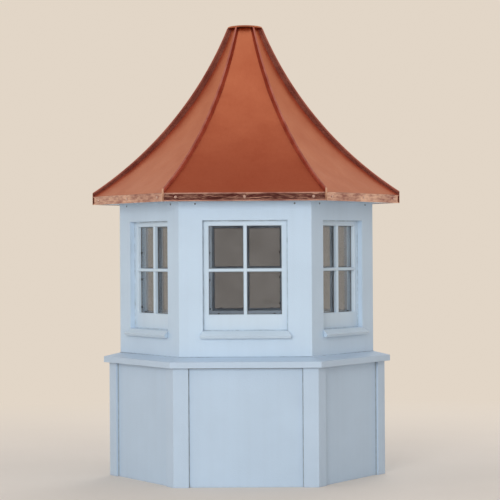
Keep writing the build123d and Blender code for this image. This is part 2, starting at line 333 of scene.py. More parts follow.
class CupolaGlassSettings(bpy.types.PropertyGroup):
    """Tinted panes and their gaskets."""

    tint: colour("Tint", "Light that one pane lets through", 0.487, 0.507, 0.53)
    film_colour: colour("Film Colour", "Light that a dusty part of a pane lets through", 0.427, 0.44, 0.46)
    roughness: share("Roughness", "Roughness of clean glass", 0.01)
    dusty_roughness: share("Dusty Roughness", "Roughness where dust lies on the glass", 0.05)
    shadow_tint: colour("Shadow Tint", "Light that a pane's face lets into the room", 0.92, 0.93, 0.93)
    gasket_band: length("Gasket Width", "Width of the gasket seen round each light", 0.0014)
    gasket_depth: length("Gasket Depth", "How far the gasket stands in front of the glass", 0.002)
    gasket_colour: colour("Gasket Colour", "Dark rubber round the glass", 0.10, 0.105, 0.11)
    clip_colour: colour("Clip Colour", "Dark clips that hold the glass", 0.02, 0.022, 0.026)
    clip_length: length("Clip Length", "Length of a clip along the edge of the glass", 0.0065)
    clip_width: length("Clip Width", "How far a clip reaches over the glass", 0.0045)
    clip_round: length("Clip Round", "Rounding of a clip's front edges", 0.0009)


class CupolaCopperSettings(bpy.types.PropertyGroup):
    """Copper of the roof, its seams and its fascia."""

    crown_side: length("Crown Side", "Side of the hexagon that the panels make at the crown", 0.043)
    roof_sag: length("Roof Sag", "How far the hollow roof lies under a straight slope", 0.056)
    eave_height: length("Eave Height", "Height of the panels' lowest outer edge", 0.9259)
    sheet_thickness: length("Sheet Thickness", "Thickness of the roof panels", 0.0012)
    panel_steps: IntProperty(name="Panel Steps", description="Steps of one panel's curve", default=40, min=8)
    cap_radius: length("Cap Radius", "Radius of the cap at the peak", 0.0575)
    cap_rim: length("Cap Rim", "Height of the cap's upright rim", 0.003)
    seam_foot: length("Seam Foot", "Height at which a seam's crest meets its tail", 0.9379)
    seam_head_reach: length("Seam Head Reach", "Distance of a seam's head from the axis", 0.059)
    seam_sag: length("Seam Sag", "How far a seam's hollow crest lies under a straight slope", 0.0533)
    seam_width: length("Seam Width", "Width of the folded seams", 0.0065)
    seam_depth: length("Seam Depth", "Depth of a seam's section from its crest", 0.021)
    seam_fold: length("Seam Fold", "Depth of the folded cover at a seam's crest", 0.008)
    seam_step: length("Seam Step", "How far the web under the fold is set in", 0.00095)
    seam_round: length("Seam Round", "Rounding of the seams' crest", 0.0022)
    seam_tail: length("Seam Tail", "Thickness of the tail on the fascia's corner", 0.003)
    sheet_colour: colour("Sheet Colour", "Copper of the roof panels", 0.65, 0.232, 0.116)
    sheet_dark_colour: colour("Sheet Dark Colour", "Toned parts of the roof panels", 0.55, 0.165, 0.079)
    # Colour of the painted shade in the copper's joints and hollows, patchy like dust
    joint_shade_colour: colour("Joint Shade Colour", "Dark tone of the copper in its joints", 0.22, 0.05, 0.035)
    seam_colour: colour("Seam Colour", "Toned copper of the seams", 0.60, 0.24, 0.18)
    seam_dark_colour: colour("Seam Dark Colour", "Darkest tone of the seams", 0.40, 0.13, 0.10)
    # Bright bent copper with a painted highlight on the seams' tails, and the colour of the fascia's worn
    # edges
    fresh_and_highlight_colour: colour("Fresh And Highlight Colour", "Bright copper where it was bent last", 0.86, 0.58, 0.43)
    fascia_colour: colour("Fascia Colour", "Bright copper of the fascia", 0.82, 0.54, 0.43)
    fascia_dark_colour: colour("Fascia Dark Colour", "Toned copper of the fascia", 0.28, 0.09, 0.078)
    sheet_roughness: share("Sheet Roughness", "Roughness of the satin roof panels", 0.37)
    seam_roughness: share("Seam Roughness", "Roughness of the seams", 0.3)
    fascia_roughness: share("Fascia Roughness", "Roughness of the fascia", 0.15)
    patch_size: length("Patch Size", "Width of the toned patches", 0.11)
    streak_width: length("Streak Width", "Width of the rolling streaks", 0.009)
    streak_length: length("Streak Length", "Length of the rolling streaks", 0.4)
    ripple_size: length("Ripple Size", "Width of the sheet's soft ripples", 0.13)
    ripple_height: length("Ripple Height", "Height of the sheet's soft ripples", 0.0014)
    mottle_length: length("Mottle Length", "Length of the marks along the fascia", 0.03)
    mottle_height: length("Mottle Height", "Height of the marks along the fascia", 0.006)
    roll_radius: length("Roll Radius", "Radius of the rolls along the fascia's head and foot", 0.002)


class CupolaTimberSettings(bpy.types.PropertyGroup):
    """Roof deck, rafters and peak block."""

    deck_colour: colour("Deck Colour", "Face of the plywood deck", 0.56, 0.38, 0.21)
    deck_dark_colour: colour("Deck Dark Colour", "Grain of the plywood deck", 0.36, 0.21, 0.10)
    rafter_colour: colour("Rafter Colour", "Face of the sawn rafters", 0.62, 0.45, 0.26)
    rafter_dark_colour: colour("Rafter Dark Colour", "Grain of the sawn rafters", 0.40, 0.24, 0.12)
    ring_width: length("Ring Width", "Width of one dark and light band of grain", 0.006)
    roughness: share("Roughness", "Roughness of dry timber", 0.72)


class CupolaFixingSettings(bpy.types.PropertyGroup):
    """Screws and sealant."""

    fascia_head_radius: length("Fascia Head Radius", "Radius of the bright heads on the fascia", 0.0042)
    fascia_head_height: length("Fascia Head Height", "Height of the bright heads on the fascia", 0.0022)
    fascia_screw_reach: length("Fascia Screw Reach", "Distance of the outer screws from the middle", 0.215)
    wall_head_radius: length("Wall Head Radius", "Radius of the dark heads under the eave", 0.0028)
    wall_head_height: length("Wall Head Height", "Height of the dark heads under the eave", 0.0016)
    wall_screw_reach: length("Wall Screw Reach", "Distance of the wall screws from the middle", 0.157)
    wall_screw_drop: length("Wall Screw Drop", "Distance of the wall screws below the eave", 0.008)
    bright_colour: colour("Bright Screw Colour", "Bright screws with a copper wash", 0.85, 0.60, 0.50)
    dark_colour: colour("Dark Screw Colour", "Dark coated steel", 0.16, 0.16, 0.165)
    bead_leg: length("Bead Leg", "Width of a bead of sealant along a joint", 0.003)
    opening_bead: length("Opening Bead", "Width of the bead between a sash and its opening", 0.0035)
    # Grey sealant in the base's joints, darkened with painted shade
    shaded_sealant_colour: colour("Shaded Sealant Colour", "Grey-white sealant in the base's joints", 0.36, 0.43, 0.49)
    foot_bead_colour: colour("Foot Bead Colour", "Painted sealant at the tower's foot", 0.50, 0.62, 0.75)
    # Sealant round the sashes, a little darker than the paint as painted shade
    shaded_opening_bead_colour: colour("Shaded Opening Bead Colour", "Sealant round the sashes", 0.56, 0.68, 0.79)


class CupolaStageSettings(bpy.types.PropertyGroup):
    """Camera, lights, floor and backdrop."""

    camera_distance: length("Camera Distance", "Distance of the camera from the cupola's axis", 6.956)
    camera_height: length("Camera Height", "Height of the level camera", 0.7456)
    camera_turn: angle("Camera Turn", "Angle of the camera off the front face, to the right", 0.57)
    camera_roll: angle("Camera Roll", "How far the camera is turned about its own line of sight", -0.35)
    aim_aside: length("Aim Aside", "Distance to the right of the axis that the camera looks at", 0.0125)
    focal_length: FloatProperty(
        name="Focal Length", description="Focal length in millimetres", default=150.6, unit="CAMERA"
    )
    backdrop_colour: colour("Backdrop Colour", "Pale paper behind the cupola", 0.76, 0.67, 0.57)
    high_colour: colour("High Colour", "Warm upper wall, seen only as a reflection", 0.86, 0.72, 0.70)
    overhead_colour: colour("Overhead Colour", "Dim ceiling, seen only as a reflection", 0.37, 0.172, 0.165)
    room_colour: colour("Room Colour", "Dim low room in front, seen as a reflection", 0.108, 0.036, 0.038)
    floor_colour: colour("Floor Colour", "Pale floor", 0.8, 0.73, 0.66)
    ambient_colour: colour("Ambient Colour", "Even light from all sides", 0.60, 0.60, 0.60)
    key_share: share("Key Share", "Light of the front lamp on a white board that faces it", 0.38)
    back_share: share("Back Share", "Light of the back lamp on a white board that faces it", 0.3)
    inner_share: share("Inner Share", "Light of the tower's inner lamp on a white board near it", 0.65)
    inner_colour: colour("Inner Colour", "Tone of the tower's inner lamp", 1.0, 0.92, 0.84)


# Shader nodes

def make(tree, kind, inputs=None, **settings):
    """Adds a node. An input given a socket is joined to it, and one given a value is set."""
    node = tree.nodes.new(kind)
    for name, value in settings.items():
        setattr(node, name, value)
    for socket, value in (inputs or {}).items():
        if isinstance(value, bpy.types.NodeSocket):
            tree.links.new(value, node.inputs[socket])
        else:
            node.inputs[socket].default_value = value
    return node


def maths(tree, operation, first, second):
    """The result of one sum."""
    return make(tree, "ShaderNodeMath", {0: first, 1: second}, operation=operation).outputs[0]


def spread(tree, value, low, high, start=0.0, end=1.0):
    """A value stretched so that low and high become start and end, and held between them."""
    inputs = {"Value": value, "From Min": low, "From Max": high, "To Min": start, "To Max": end}
    return make(tree, "ShaderNodeMapRange", inputs).outputs["Result"]


def mixed(tree, amount, first, second, blend_type="MIX"):
    """A colour between two others."""
    inputs = {"Factor": amount, "A": first, "B": second}
    node = make(tree, "ShaderNodeMix", data_type="RGBA", blend_type=blend_type)
    for socket in node.inputs:
        if not socket.enabled:
            continue
        if isinstance(inputs[socket.name], bpy.types.NodeSocket):
            tree.links.new(inputs[socket.name], socket)
        else:
            socket.default_value = inputs[socket.name]
    return next(socket for socket in node.outputs if socket.enabled)


def laid_on(tree, mask, amount, under, over):
    """A colour laid on another where a mask times an amount says so."""
    return mixed(tree, maths(tree, "MULTIPLY", mask, amount), under, over)


def weighed(tree, first, first_share, second, second_share):
    """The sum of a share of one value and a share of another."""
    first_part = maths(tree, "MULTIPLY", first, first_share)
    second_part = maths(tree, "MULTIPLY", second, second_share)
    return maths(tree, "ADD", first_part, second_part)


def varied(tree, pattern, middle, fall, rise):
    """A value that follows a pattern from a little under its middle to a little over it."""
    return spread(tree, pattern, 0.0, 1.0, middle - fall, middle + rise)


def noise(tree, place, scale, detail=FINE_DETAIL):
    """Smooth noise at a scale."""
    inputs = {"Vector": place, "Scale": scale, "Detail": detail}
    return make(tree, "ShaderNodeTexNoise", inputs).outputs["Fac"]


def vector(tree, **parts):
    """A vector made from its parts."""
    return make(tree, "ShaderNodeCombineXYZ", parts).outputs["Vector"]


def parts_of(tree, place):
    """The X, Y and Z of a vector."""
    return make(tree, "ShaderNodeSeparateXYZ", {"Vector": place}).outputs


def length_of(tree, place):
    """The length of a vector."""
    return make(tree, "ShaderNodeVectorMath", {0: place}, operation="LENGTH").outputs["Value"]


def axis_distance(tree, place):
    """Distance of a place from the cupola's axis."""
    plan = make(tree, "ShaderNodeVectorMath", {0: place, 1: (1, 1, 0)}, operation="MULTIPLY")
    return length_of(tree, plan.outputs["Vector"])


def seen_rays(tree, light_path):
    """1 for the rays of the camera, of reflections and of glass, and 0 for light on a board."""
    seen = maths(tree, "MAXIMUM", light_path["Is Camera Ray"], light_path["Is Glossy Ray"])
    return maths(tree, "MAXIMUM", seen, light_path["Is Transmission Ray"])


def raised(tree, height, distance, normal=None):
    """A normal that makes a height in metres show as relief."""
    inputs = {"Height": height, "Distance": distance, "Strength": 1.0}
    if normal is not None:
        inputs["Normal"] = normal
    return make(tree, "ShaderNodeBump", inputs).outputs["Normal"]


FLOAT, VECTOR = "NodeSocketFloat", "NodeSocketVector"


def effect(name, inputs, outputs):
    """An empty group of shader nodes with named sockets, and its two ends."""
    tree = bpy.data.node_groups.new(name, "ShaderNodeTree")
    for socket, kind in inputs:
        tree.interface.new_socket(socket, in_out="INPUT", socket_type=kind)
    for socket in outputs:
        kind = VECTOR if socket == "Normal" else FLOAT
        tree.interface.new_socket(socket, in_out="OUTPUT", socket_type=kind)
    return tree, tree.nodes.new("NodeGroupInput").outputs, tree.nodes.new("NodeGroupOutput").inputs


def patches_effect():
    """Soft patches and fine speckle, both from 0 to 1."""
    sockets = [("Position", VECTOR), ("Patch Size", FLOAT), ("Speckle Size", FLOAT)]
    tree, given, result = effect("Patches", sockets, ["Patches", "Speckle"])
    kinds = (("Patch Size", "Patches", PATCH_DETAIL), ("Speckle Size", "Speckle", FINE_DETAIL))
    for size, output, detail in kinds:
        scale = maths(tree, "DIVIDE", 1.0, given[size])
        pattern = noise(tree, given["Position"], scale, detail)
        tree.links.new(spread(tree, pattern, *SOFT_NOISE), result[output])
    return tree


def streaks_effect():
    """Long marks that run down a surface, from 0 to 1."""
    sockets = [("Position", VECTOR), ("Width", FLOAT), ("Length", FLOAT)]
    tree, given, result = effect("Streaks", sockets, ["Streaks"])
    cell = vector(tree, X=given["Width"], Y=given["Width"], Z=given["Length"])
    place = make(tree, "ShaderNodeVectorMath", {0: given["Position"], 1: cell}, operation="DIVIDE")
    pattern = noise(tree, place.outputs["Vector"], 1.0)
    tree.links.new(spread(tree, pattern, *STREAK_NOISE), result["Streaks"])
    return tree


def worn_edges_effect():
    """Outer edges, from 0 to 1, and a normal that rounds them."""
    tree, given, result = effect("Worn Edges", [("Radius", FLOAT)], ["Edges", "Normal"])
    bevel = make(tree, "ShaderNodeBevel", {"Radius": given["Radius"]}, samples=EDGE_SAMPLES)
    rounded = bevel.outputs["Normal"]
    flat = make(tree, "ShaderNodeNewGeometry").outputs["Normal"]
    agreement = make(tree, "ShaderNodeVectorMath", {0: rounded, 1: flat}, operation="DOT_PRODUCT")
    tree.links.new(spread(tree, agreement.outputs["Value"], *EDGE_AGREEMENT), result["Edges"])
    tree.links.new(rounded, result["Normal"])
    return tree


def joint_shade_and_dust_effect():
    """Inner corners and joints, from 0 to 1: painted shade where little of the sky reaches, made patchy like
    dust.
    """
    sockets = [("Position", VECTOR), ("Reach", FLOAT)]
    tree, given, result = effect("Joint Grime", sockets, ["Grime"])
    # Painted shade: ambient occlusion darkens inner corners and joints, and noise makes the darkening patchy
    # like dust
    open_sky = make(tree, "ShaderNodeAmbientOcclusion", {"Distance": given["Reach"]}, samples=SKY_SAMPLES)
    closed = spread(tree, open_sky.outputs["AO"], *OPEN_SKY)
    patchy = spread(tree, noise(tree, given["Position"], DUST_SCALE), *DUST_NOISE, *DUST_SHARE)
    tree.links.new(maths(tree, "MULTIPLY", closed, patchy), result["Grime"])
    return tree


def timber_grain_effect():
    """Bands of grain that run up the roof's slope, and fine fibre, both from 0 to 1."""
    sockets = [("Position", VECTOR), ("Ring Width", FLOAT)]
    tree, given, result = effect("Timber Grain", sockets, ["Rings", "Fibre"])
    parts = parts_of(tree, given["Position"])
    radius = axis_distance(tree, given["Position"])
    bearing = maths(tree, "ARCTAN2", parts["Y"], parts["X"])
    across = maths(tree, "ADD", radius, parts["Z"])
    along = maths(tree, "SUBTRACT", parts["Z"], radius)
    grain = vector(tree, X=across, Y=bearing, Z=maths(tree, "MULTIPLY", along, RING_STRETCH))
    rings = noise(tree, grain, maths(tree, "DIVIDE", 1.0, given["Ring Width"]))
    fibre = noise(tree, grain, FIBRE_SCALE)
    tree.links.new(spread(tree, rings, *RING_NOISE), result["Rings"])
    tree.links.new(spread(tree, fibre, *SOFT_NOISE), result["Fibre"])
    return tree


EFFECTS = {
    "Patches": patches_effect,
    "Streaks": streaks_effect,
    "Worn Edges": worn_edges_effect,
    "Joint Grime": joint_shade_and_dust_effect,
    "Timber Grain": timber_grain_effect,
}


def placed(tree, name, position=None, **sizes):
    """Places an effect in a material with its own sizes and gives the effect's outputs."""
    group = bpy.data.node_groups.get(name) or EFFECTS[name]()
    inputs = {socket.replace("_", " "): value for socket, value in sizes.items()}
    if position is not None:
        inputs["Position"] = position
    return make(tree, "ShaderNodeGroup", inputs, node_tree=group).outputs


def new_material(name, **plain):
    """A material with one Principled shader. A plain value is set on the shader's own socket."""
    material = bpy.data.materials.new(name)
    material.use_nodes = True
    tree = material.node_tree
    shader = tree.nodes["Principled BSDF"]
    for socket, value in plain.items():
        shader.inputs[socket.replace("_", " ")].default_value = value
    position = make(tree, "ShaderNodeTexCoord").outputs["Object"]
    return material, tree, shader, position


def finish_shader(tree, shader, **joined):
    """Joins sockets to the shader's inputs of the same names."""
    for socket, value in joined.items():
        tree.links.new(value, shader.inputs[socket.replace("_", " ")])


def mix_surface(tree, amount, shader, other):
    """Ends a material in a mix of its own shader and another one."""
    inputs = {"Fac": amount, 1: shader.outputs["BSDF"], 2: other}
    surface = make(tree, "ShaderNodeMixShader", inputs).outputs["Shader"]
    tree.links.new(surface, tree.nodes["Material Output"].inputs["Surface"])


# Materials

def darker(tint, depth):
    """A colour made darker by a share of itself."""
    return (*[part * (1 - depth) for part in tint[:3]], 1)


def board_paint(name, base_colour, shade_and_dust_share, paint):
    """Satin paint on smooth boards: soft patches, roller stipple, painted shade and dust in joints, and
    faint rain marks.
    """
    material, tree, shader, position = new_material(name)
    patches = placed(tree, "Patches", position, Patch_Size=paint.patch_size, Speckle_Size=paint.stipple_size)
    rain = placed(tree, "Streaks", position, Width=RAIN_WIDTH, Length=RAIN_LENGTH)
    edges = placed(tree, "Worn Edges", Radius=paint.edge_radius)
    shade_and_dust = placed(tree, "Joint Grime", position, Reach=PAINT_SHADE_AND_DUST_REACH)
    body = mixed(tree, patches["Patches"], base_colour, darker(base_colour, paint.shade_depth))
    rained = laid_on(tree, rain["Streaks"], paint.rain_marks, body, paint.shade_and_dust_colour)
    # Painted shade and dust in the inner corners and joints
    dusty = laid_on(tree, shade_and_dust["Grime"], shade_and_dust_share, rained, paint.shade_and_dust_colour)
    worn = laid_on(tree, edges["Edges"], PAINT_WEAR, dusty, WORN_PAINT_COLOUR)
    roughness = varied(tree, patches["Speckle"], paint.roughness, *PAINT_SWING)
    normal = raised(tree, patches["Speckle"], paint.stipple_height, edges["Normal"])
    finish_shader(tree, shader, Base_Color=worn, Roughness=roughness, Normal=normal)
    return material


def tinted_glass(glass):
    """Tinted pane with a thin film of dust. Its shadow is a tinted light and not a dark one."""
    material, tree, shader, position = new_material("Tinted glass", Transmission_Weight=1.0, IOR=GLASS_IOR)
    film = placed(tree, "Patches", position, Patch_Size=FILM_PATCH)["Patches"]
    tint = mixed(tree, film, glass.tint, glass.film_colour)
    roughness = spread(tree, film, *FILM_NOISE, glass.roughness, glass.dusty_roughness)
    normal = raised(tree, film, FILM_HEIGHT)
    finish_shader(tree, shader, Base_Color=tint, Roughness=roughness, Normal=normal)
    light_path = make(tree, "ShaderNodeLightPath").outputs
    clear = make(tree, "ShaderNodeBsdfTransparent", {"Color": glass.shadow_tint}).outputs["BSDF"]
    mix_surface(tree, light_path["Is Shadow Ray"], shader, clear)
    return material


def copper_sheet(copper):
    """Satin copper sheet: toned patches, rolling streaks and soft ripples."""
    material, tree, shader, position = new_material("Copper sheet", Metallic=1.0)
    tone = placed(tree, "Patches", position, Patch_Size=copper.patch_size, Speckle_Size=SHEET_SPECKLE)
    ripple = placed(tree, "Patches", position, Patch_Size=copper.ripple_size)
    streaks = placed(tree, "Streaks", position, Width=copper.streak_width, Length=copper.streak_length)
    edges = placed(tree, "Worn Edges", Radius=COPPER_EDGE_RADIUS)
    joints = placed(tree, "Joint Grime", position, Reach=SHEET_JOINT_REACH)
    marks = maths(tree, "MULTIPLY", streaks["Streaks"], SHEET_STREAK_SHARE)
    toned = maths(tree, "ADD", tone["Patches"], marks)
    body = laid_on(tree, toned, SHEET_TONE_SHARE, copper.sheet_colour, copper.sheet_dark_colour)
    grained = laid_on(tree, tone["Speckle"], SHEET_SPECKLE_SHARE, body, copper.sheet_dark_colour)
    # Painted shade in the sheet's joints and hollows
    joint_shaded = laid_on(tree, joints["Grime"], COPPER_JOINT_SHADE_SHARE, grained, copper.joint_shade_colour)
    worn = laid_on(tree, edges["Edges"], SHEET_WEAR, joint_shaded, copper.fascia_colour)
    matting = weighed(
        tree, tone["Patches"], SHEET_PATCH_MATTING, tone["Speckle"], SHEET_SPECKLE_MATTING
    )
    roughness = maths(tree, "ADD", matting, copper.sheet_roughness - SHEET_POLISH)
    rippled = raised(tree, ripple["Patches"], copper.ripple_height)
    normal = raised(tree, tone["Speckle"], SHEET_GRAIN_HEIGHT, rippled)
    finish_shader(tree, shader, Base_Color=worn, Roughness=roughness, Normal=normal)
    return material


def seam_copper(copper):
    """Toned copper of the folded seams, bright at the foot where it was bent over the fascia's corner, with
    a painted highlight there.
    """
    material, tree, shader, position = new_material("Seam copper", Metallic=1.0)
    tone = placed(tree, "Patches", position, Patch_Size=SEAM_PATCH, Speckle_Size=SEAM_SPECKLE)
    edges = placed(tree, "Worn Edges", Radius=COPPER_EDGE_RADIUS)
    joints = placed(tree, "Joint Grime", position, Reach=SEAM_JOINT_REACH)
    reach = axis_distance(tree, position)
    # Painted highlight along each seam's tail on the fascia's corner, on brighter bent copper
    bent = spread(tree, reach, SEAM_REACH - BENT_HIGHLIGHT_START, SEAM_REACH - BENT_HIGHLIGHT_END)
    body = mixed(tree, tone["Patches"], copper.seam_colour, copper.seam_dark_colour)
    # Painted shade where the seam meets the panels and the cap
    joint_shaded = laid_on(tree, joints["Grime"], COPPER_JOINT_SHADE_SHARE, body, copper.joint_shade_colour)
    worn = laid_on(tree, edges["Edges"], SEAM_WEAR, joint_shaded, copper.fascia_colour)
    highlighted_foot = laid_on(tree, bent, BENT_HIGHLIGHT_SHARE, worn, copper.fresh_and_highlight_colour)
    roughness = varied(tree, tone["Speckle"], copper.seam_roughness, *SEAM_SWING)
    normal = raised(tree, tone["Speckle"], SEAM_GRAIN_HEIGHT, edges["Normal"])
    finish_shader(tree, shader, Base_Color=highlighted_foot, Roughness=roughness, Normal=normal)
    return material


def fascia_copper(copper):
    """Folded copper band: bright metal with long dark marks, dented by hand folding."""
    material, tree, shader, position = new_material("Fascia copper", Metallic=1.0)
    marks = placed(tree, "Streaks", position, Width=copper.mottle_length, Length=copper.mottle_height)
    wide = placed(tree, "Patches", position, Patch_Size=FASCIA_PATCH, Speckle_Size=DENT_SIZE)
    edges = placed(tree, "Worn Edges", Radius=FASCIA_EDGE_RADIUS)
    both = weighed(tree, marks["Streaks"], FASCIA_MARK_SHARE, wide["Patches"], FASCIA_PATCH_SHARE)
    toned = spread(tree, both, *FASCIA_MARKS)
    body = mixed(tree, toned, copper.fascia_colour, copper.fascia_dark_colour)
    worn = laid_on(tree, edges["Edges"], FASCIA_WEAR, body, copper.fresh_and_highlight_colour)
    roughness = varied(tree, wide["Speckle"], copper.fascia_roughness, *FASCIA_SWING)
    dented = raised(tree, wide["Speckle"], DENT_HEIGHT, edges["Normal"])
    normal = raised(tree, marks["Streaks"], MARK_HEIGHT, dented)
    finish_shader(tree, shader, Base_Color=worn, Roughness=roughness, Normal=normal)
    return material


def bare_timber(name, base_colour, dark_colour, timber):
    """Dry sawn timber with grain up the slope."""
    material, tree, shader, position = new_material(name)
    grain = placed(tree, "Timber Grain", position, Ring_Width=timber.ring_width)
    shade_and_dust = placed(tree, "Joint Grime", position, Reach=TIMBER_SHADE_AND_DUST_REACH)
    ringed = laid_on(tree, grain["Rings"], RING_SHARE, base_colour, dark_colour)
    fibred = laid_on(tree, grain["Fibre"], FIBRE_SHARE, ringed, dark_colour)
    # Painted shade and dust in the timber's joints, darker than its grain
    dust_colour = darker(dark_colour, TIMBER_SHADE_AND_DUST_DEPTH)
    dusty = laid_on(tree, shade_and_dust["Grime"], TIMBER_SHADE_AND_DUST_SHARE, fibred, dust_colour)
    roughness = varied(tree, grain["Fibre"], timber.roughness, *TIMBER_SWING)
    normal = raised(tree, grain["Fibre"], FIBRE_HEIGHT)
    finish_shader(tree, shader, Base_Color=dusty, Roughness=roughness, Normal=normal)
    return material


def screw_steel(name, steel_colour, metallic):
    """Screw heads with fine scratches and worn rims."""
    material, tree, shader, position = new_material(name, Metallic=metallic)
    patches = placed(tree, "Patches", position, Patch_Size=SCREW_PATCH, Speckle_Size=SCREW_SPECKLE)
    edges = placed(tree, "Worn Edges", Radius=SCREW_EDGE_RADIUS)
    body = mixed(tree, patches["Patches"], steel_colour, darker(steel_colour, SCREW_SHADE))
    worn = laid_on(tree, edges["Edges"], SCREW_WEAR, body, WORN_STEEL_COLOUR)
    roughness = spread(tree, patches["Speckle"], 0.0, 1.0, *STEEL_ROUGHNESS)
    normal = raised(tree, patches["Speckle"], SCRATCH_HEIGHT, edges["Normal"])
    finish_shader(tree, shader, Base_Color=worn, Roughness=roughness, Normal=normal)
    return material


def soft_filler(name, base_colour, middle_roughness):
    """Sealant, rubber or enamel: uneven, slightly wrinkled and dusty."""
    material, tree, shader, position = new_material(name)
    patches = placed(tree, "Patches", position, Patch_Size=FILLER_PATCH, Speckle_Size=FILLER_SPECKLE)
    body = mixed(tree, patches["Patches"], base_colour, darker(base_colour, FILLER_SHADE))
    roughness = varied(tree, patches["Speckle"], middle_roughness, *FILLER_SWING)
    normal = raised(tree, patches["Patches"], FILLER_HEIGHT)
    finish_shader(tree, shader, Base_Color=body, Roughness=roughness, Normal=normal)
    return material


# Modelling helpers

def clear_selection():
    bpy.ops.object.select_all(action="DESELECT")


def pick_only(piece):
    """Makes one piece the selected and active one."""
    clear_selection()
    piece.select_set(True)
    bpy.context.view_layer.objects.active = piece


def settle(piece):
    """Moves a piece's place into its mesh."""
    pick_only(piece)
    bpy.ops.object.transform_apply(location=True, rotation=True, scale=True)


@contextmanager
def shaping(piece):
    """Edit mode on one piece."""
    pick_only(piece)
    bpy.ops.object.mode_set(mode="EDIT")
    yield
    bpy.ops.object.mode_set(mode="OBJECT")


def pick_faces(piece, test):
    """Selects the faces that pass a test, in edit mode."""
    bpy.ops.mesh.select_mode(type="FACE")
    bpy.ops.mesh.select_all(action="DESELECT")
    for face in bmesh.from_edit_mesh(piece.data).faces:
        face.select_set(test(face))
    bmesh.update_edit_mesh(piece.data)


def pick_edges(piece, test):
    """Selects the edges whose two ends pass a test, in edit mode."""
    bpy.ops.mesh.select_mode(type="EDGE")
    bpy.ops.mesh.select_all(action="DESELECT")
    for edge in bmesh.from_edit_mesh(piece.data).edges:
        edge.select_set(all(test(vertex.co) for vertex in edge.verts))
    bmesh.update_edit_mesh(piece.data)


def round_edges(piece, test, offset, segments, profile=EVEN_PROFILE):
    """Rounds the edges whose two ends pass a test, in edit mode."""
    pick_edges(piece, test)
    bpy.ops.mesh.bevel(offset=offset, segments=segments, profile=profile, affect="EDGES")


def block(name, middle, size):
    """A box at its size and place, ready to be shaped."""
    clear_selection()
    bpy.ops.mesh.primitive_cube_add(size=1, location=middle, scale=size)
    piece = bpy.context.object
    piece.name = name
    settle(piece)
    return piece


def joined(pieces):
    """Several pieces made one."""
    clear_selection()
    for piece in pieces:
        piece.select_set(True)
    bpy.context.view_layer.objects.active = pieces[0]
    bpy.ops.object.join()
    return bpy.context.object


def completed(piece, material):
    """Gives a piece its material, its slot and its body."""
    piece.data.materials.clear()
    piece.data.materials.append(material)
    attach(piece, "root")


def repeated(piece, name, material):
    """Six like pieces round the axis, each with its own mesh."""
    pieces = [piece]
    for number in range(1, SIDE_COUNT):
        copy = bpy.data.objects.new(f"{name}_{number + 1}", piece.data.copy())
        bpy.context.scene.collection.objects.link(copy)
        copy.rotation_euler.z = TURN * number
        settle(copy)
        pieces.append(copy)
    piece.name = f"{name}_1"
    for each in pieces:
        completed(each, material)
    return pieces


def smooth(piece, degrees=SMOOTH_DEGREES):
    """Smooth shading with sharp edges kept."""
    pick_only(piece)
    bpy.ops.object.shade_smooth_by_angle(angle=math.radians(degrees))


def screw_head(middle, radius, height):
    """A pan head that faces the front, with a driven recess."""
    clear_selection()
    place = (middle.x, middle.y - height / 2, middle.z)
    quarter_turn = (math.pi / 2, 0, 0)
    bpy.ops.mesh.primitive_cylinder_add(
        vertices=HEAD_VERTICES, radius=radius, depth=height, location=place, rotation=quarter_turn
    )
    head = bpy.context.object
    settle(head)
    front = middle.y - height
    with shaping(head):
        round_edges(head, lambda corner: corner.y < front + TOUCH, height * HEAD_ROUND, ROUND_SEGMENTS)
        pick_faces(head, lambda face: face.normal.y < -FACING and len(face.verts) == HEAD_VERTICES)
        bpy.ops.mesh.inset(thickness=radius * RECESS_INSET)
        bpy.ops.mesh.extrude_region_move(TRANSFORM_OT_translate={"value": (0, height * RECESS_DEPTH, 0)})
        recess_middle = (middle.x, front, middle.z)
        bpy.ops.transform.resize(value=(RECESS_TAPER, 1, RECESS_TAPER), center_override=recess_middle)
    smooth(head)
    return head


def rectangular_ring(middle, width, height, band, depth):
    """A bead round the inside of a rectangle on the front face, sloped towards its middle."""
    ring = block("ring", middle, (width, depth, height))
    front = middle[1] - depth / 2
    with shaping(ring):
        pick_faces(ring, lambda face: abs(face.normal.y) > FACING)
        bpy.ops.mesh.inset(thickness=band)
        bpy.ops.mesh.bridge_edge_loops()
        inner_x = width / 2 - band + TOUCH
        inner_z = height / 2 - band + TOUCH

        def on_inner_front(corner):
            """True for a corner of the ring's inner front edge."""
            inside = abs(corner.x - middle[0]) < inner_x and abs(corner.z - middle[2]) < inner_z
            return inside and corner.y < front + TOUCH

        round_edges(ring, on_inner_front, min(band, depth) * RING_ROUND, FINE_SEGMENTS)
    smooth(ring)
    return ring


def joint_bead(middle, size, outer_edge):
    """A straight bead of sealant, hollowed along its one open edge."""
    bead = block("bead", middle, size)
    with shaping(bead):
        round_edges(bead, outer_edge, min(size) * BEAD_HOLLOW, ROUND_SEGMENTS, BEAD_PROFILE)
    smooth(bead, BEAD_SMOOTH_DEGREES)
    return bead


def face_outward():
    """Turns all normals outward, in edit mode."""
    bpy.ops.mesh.select_all(action="SELECT")
    bpy.ops.mesh.normals_make_consistent(inside=False)


def cut_off(place, way):
    """Cuts away what lies past a plane and closes the cut, in edit mode."""
    bpy.ops.mesh.select_mode(type="EDGE")
    bpy.ops.mesh.select_all(action="SELECT")
    bpy.ops.mesh.bisect(plane_co=place, plane_no=way, clear_outer=True)
    bpy.ops.mesh.edge_face_add()


def mitre_ends(piece, gap=0.0):
    """Cuts a piece on the front face along the upright planes of its two corners, a gap short of them."""
    with shaping(piece):
        for side in (1, -1):
            cut = Vector((side * math.cos(TURN / 2), math.sin(TURN / 2), 0))
            cut_off(-gap * cut, cut)
        face_outward()


